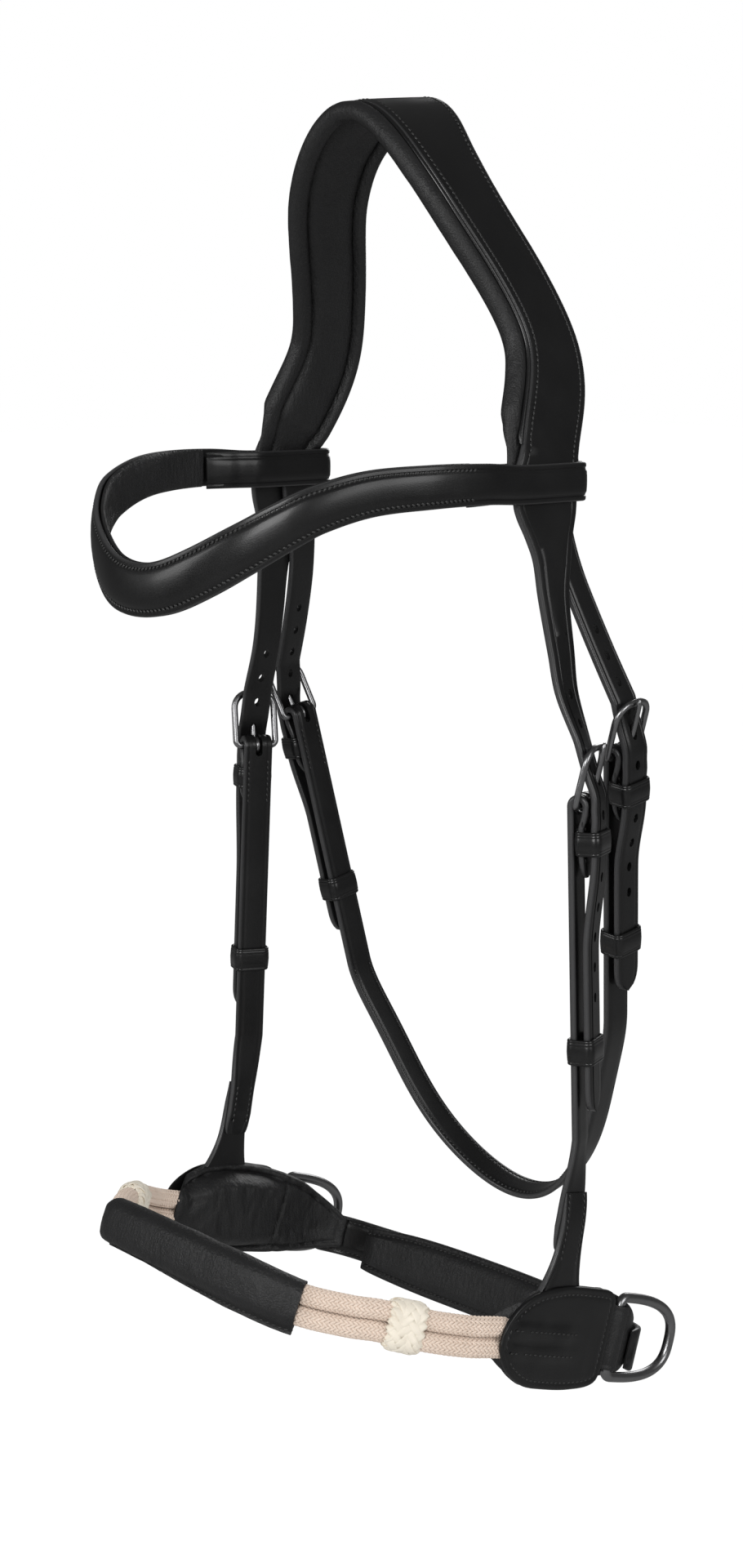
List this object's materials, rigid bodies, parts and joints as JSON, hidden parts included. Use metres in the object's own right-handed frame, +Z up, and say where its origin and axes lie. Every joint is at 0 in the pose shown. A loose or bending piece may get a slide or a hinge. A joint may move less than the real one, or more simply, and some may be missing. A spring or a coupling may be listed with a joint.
{
  "type": "bitless bridle",
  "caption": "Black leather bitless bridle with padded headpiece, curved browband, buckled cheekpieces and throatlatch, padded noseband of braided rope, chin strap and rein rings.",
  "frame": {"origin": "poll seat: underside of the headpiece's padding at the crown, on the centre plane", "axes": "+Z up, +X to the horse's left, the nose points to -Y"},
  "size_m": [0.2308, 0.2326, 0.5567],
  "materials": {
    "headpiece_strap": "semi-gloss black",
    "headpiece_lining": "soft matt nappa",
    "throat_billet_left": "semi-gloss black",
    "throat_billet_right": "semi-gloss black",
    "browband_strap": "semi-gloss black",
    "browband_lining": "soft matt nappa",
    "cheek_strap_left": "semi-gloss black",
    "cheek_strap_right": "semi-gloss black",
    "side_piece_left": "semi-gloss black",
    "side_piece_right": "semi-gloss black",
    "throat_strap": "semi-gloss black",
    "cheek_left_buckle": "polished dark nickel",
    "cheek_left_prong": "polished dark nickel",
    "cheek_left_keeper": "semi-gloss black",
    "cheek_left_slider": "semi-gloss black",
    "cheek_right_buckle": "polished dark nickel",
    "cheek_right_prong": "polished dark nickel",
    "cheek_right_keeper": "semi-gloss black",
    "cheek_right_slider": "semi-gloss black",
    "throat_left_buckle": "polished dark nickel",
    "throat_left_prong": "polished dark nickel",
    "throat_left_keeper": "semi-gloss black",
    "throat_left_slider": "semi-gloss black",
    "throat_right_buckle": "polished dark nickel",
    "throat_right_prong": "polished dark nickel",
    "throat_right_keeper": "semi-gloss black",
    "throat_right_slider": "semi-gloss black",
    "pad_lining_left": "soft matt nappa",
    "pad_facing_left": "semi-gloss black",
    "pad_lining_right": "soft matt nappa",
    "pad_facing_right": "semi-gloss black",
    "rope_upper": "braided cotton rope",
    "rope_lower": "braided cotton rope",
    "nose_sleeve": "semi-gloss black",
    "rope_knot_left": "woven ivory cord",
    "rope_knot_right": "woven ivory cord",
    "rein_ring_left": "polished dark nickel",
    "ring_tab_left": "semi-gloss black",
    "rein_ring_right": "polished dark nickel",
    "ring_tab_right": "semi-gloss black",
    "chin_strap": "semi-gloss black",
    "chin_pad": "soft matt nappa"
  },
  "bodies": {
    "bridle": {"headpiece_strap": "headpiece_strap", "headpiece_lining": "headpiece_lining", "throat_billet_left": "throat_billet_left", "throat_billet_right": "throat_billet_right", "cheek_strap_left": "cheek_strap_left", "cheek_strap_right": "cheek_strap_right", "side_piece_left": "side_piece_left", "side_piece_right": "side_piece_right", "throat_strap": "throat_strap", "cheek_left_keeper": "cheek_left_keeper", "cheek_right_keeper": "cheek_right_keeper", "throat_left_keeper": "throat_left_keeper", "throat_right_keeper": "throat_right_keeper", "pad_lining_left": "pad_lining_left", "pad_facing_left": "pad_facing_left", "pad_lining_right": "pad_lining_right", "pad_facing_right": "pad_facing_right", "rope_upper": "rope_upper", "rope_lower": "rope_lower", "nose_sleeve": "nose_sleeve", "ring_tab_left": "ring_tab_left", "ring_tab_right": "ring_tab_right", "chin_strap": "chin_strap", "chin_pad": "chin_pad"},
    "browband": {"browband_strap": "browband_strap", "browband_lining": "browband_lining"},
    "cheek_left_buckle": {"cheek_left_buckle": "cheek_left_buckle"},
    "cheek_left_prong": {"cheek_left_prong": "cheek_left_prong"},
    "cheek_left_slider": {"cheek_left_slider": "cheek_left_slider"},
    "cheek_right_buckle": {"cheek_right_buckle": "cheek_right_buckle"},
    "cheek_right_prong": {"cheek_right_prong": "cheek_right_prong"},
    "cheek_right_slider": {"cheek_right_slider": "cheek_right_slider"},
    "throat_left_buckle": {"throat_left_buckle": "throat_left_buckle"},
    "throat_left_prong": {"throat_left_prong": "throat_left_prong"},
    "throat_left_slider": {"throat_left_slider": "throat_left_slider"},
    "throat_right_buckle": {"throat_right_buckle": "throat_right_buckle"},
    "throat_right_prong": {"throat_right_prong": "throat_right_prong"},
    "throat_right_slider": {"throat_right_slider": "throat_right_slider"},
    "rein_ring_left": {"rein_ring_left": "rein_ring_left"},
    "rope_knot_left": {"rope_knot_left": "rope_knot_left"},
    "rein_ring_right": {"rein_ring_right": "rein_ring_right"},
    "rope_knot_right": {"rope_knot_right": "rope_knot_right"}
  },
  "joints": [
    {"name": "browband_slide", "type": "slide", "parent": "bridle", "child": "browband", "axis": [0, 0, 1], "range_m": [-0.0015, 0.0003]},
    {"name": "cheek_left_buckle_hinge", "type": "hinge", "parent": "bridle", "child": "cheek_left_buckle", "pos_m": [0.1026, 0.005, -0.2775], "axis": [-0.3745, 0.9268, -0.0282], "range_deg": [-1.5, 1.5]},
    {"name": "cheek_left_prong_hinge", "type": "hinge", "parent": "cheek_left_buckle", "child": "cheek_left_prong", "pos_m": [0.1026, 0.005, -0.2775], "axis": [-0.3745, 0.9268, -0.0282], "range_deg": [0, 1.5]},
    {"name": "cheek_left_keeper_slide", "type": "slide", "parent": "bridle", "child": "cheek_left_slider", "axis": [-0.0479, 0.011, 0.9988], "range_m": [-0.03, 0.038]},
    {"name": "cheek_right_buckle_hinge", "type": "hinge", "parent": "bridle", "child": "cheek_right_buckle", "pos_m": [-0.1026, 0.005, -0.2775], "axis": [-0.3745, -0.9268, 0.0282], "range_deg": [-1.5, 1.5]},
    {"name": "cheek_right_prong_hinge", "type": "hinge", "parent": "cheek_right_buckle", "child": "cheek_right_prong", "pos_m": [-0.1026, 0.005, -0.2775], "axis": [-0.3745, -0.9268, 0.0282], "range_deg": [0, 1.5]},
    {"name": "cheek_right_keeper_slide", "type": "slide", "parent": "bridle", "child": "cheek_right_slider", "axis": [0.0479, 0.011, 0.9988], "range_m": [-0.03, 0.038]},
    {"name": "throat_left_buckle_hinge", "type": "hinge", "parent": "bridle", "child": "throat_left_buckle", "pos_m": [0.1007, 0.0305, -0.2595], "axis": [0, 0.9859, 0.1676], "range_deg": [-1.5, 1.5]},
    {"name": "throat_left_prong_hinge", "type": "hinge", "parent": "throat_left_buckle", "child": "throat_left_prong", "pos_m": [0.1007, 0.0305, -0.2595], "axis": [0, 0.9859, 0.1676], "range_deg": [0, 1.5]},
    {"name": "throat_left_keeper_slide", "type": "slide", "parent": "bridle", "child": "throat_left_slider", "axis": [0.1271, -0.1662, 0.9779], "range_m": [-0.03, 0.023]},
    {"name": "throat_right_buckle_hinge", "type": "hinge", "parent": "bridle", "child": "throat_right_buckle", "pos_m": [-0.1007, 0.0305, -0.2649], "axis": [0, -0.9859, -0.1676], "range_deg": [-1.5, 1.5]},
    {"name": "throat_right_prong_hinge", "type": "hinge", "parent": "throat_right_buckle", "child": "throat_right_prong", "pos_m": [-0.1007, 0.0305, -0.2649], "axis": [0, -0.9859, -0.1676], "range_deg": [0, 1.5]},
    {"name": "throat_right_keeper_slide", "type": "slide", "parent": "bridle", "child": "throat_right_slider", "axis": [-0.1271, -0.1662, 0.9779], "range_m": [-0.03, 0.023]},
    {"name": "rein_ring_left_hinge", "type": "hinge", "parent": "bridle", "child": "rein_ring_left", "pos_m": [0.108, 0.02261, -0.50994], "axis": [0, -0.3173, -0.9483], "range_deg": [-2, 110]},
    {"name": "rope_knot_left_slide", "type": "slide", "parent": "bridle", "child": "rope_knot_left", "axis": [0.5736, 0.7768, -0.2599], "range_m": [-0.0035, 0.0035]},
    {"name": "rein_ring_right_hinge", "type": "hinge", "parent": "bridle", "child": "rein_ring_right", "pos_m": [-0.108, 0.02261, -0.50994], "axis": [0, 0.3173, 0.9483], "range_deg": [-2, 110]},
    {"name": "rope_knot_right_slide", "type": "slide", "parent": "bridle", "child": "rope_knot_right", "axis": [-0.5736, 0.7768, -0.2599], "range_m": [-0.0035, 0.0035]}
  ]
}
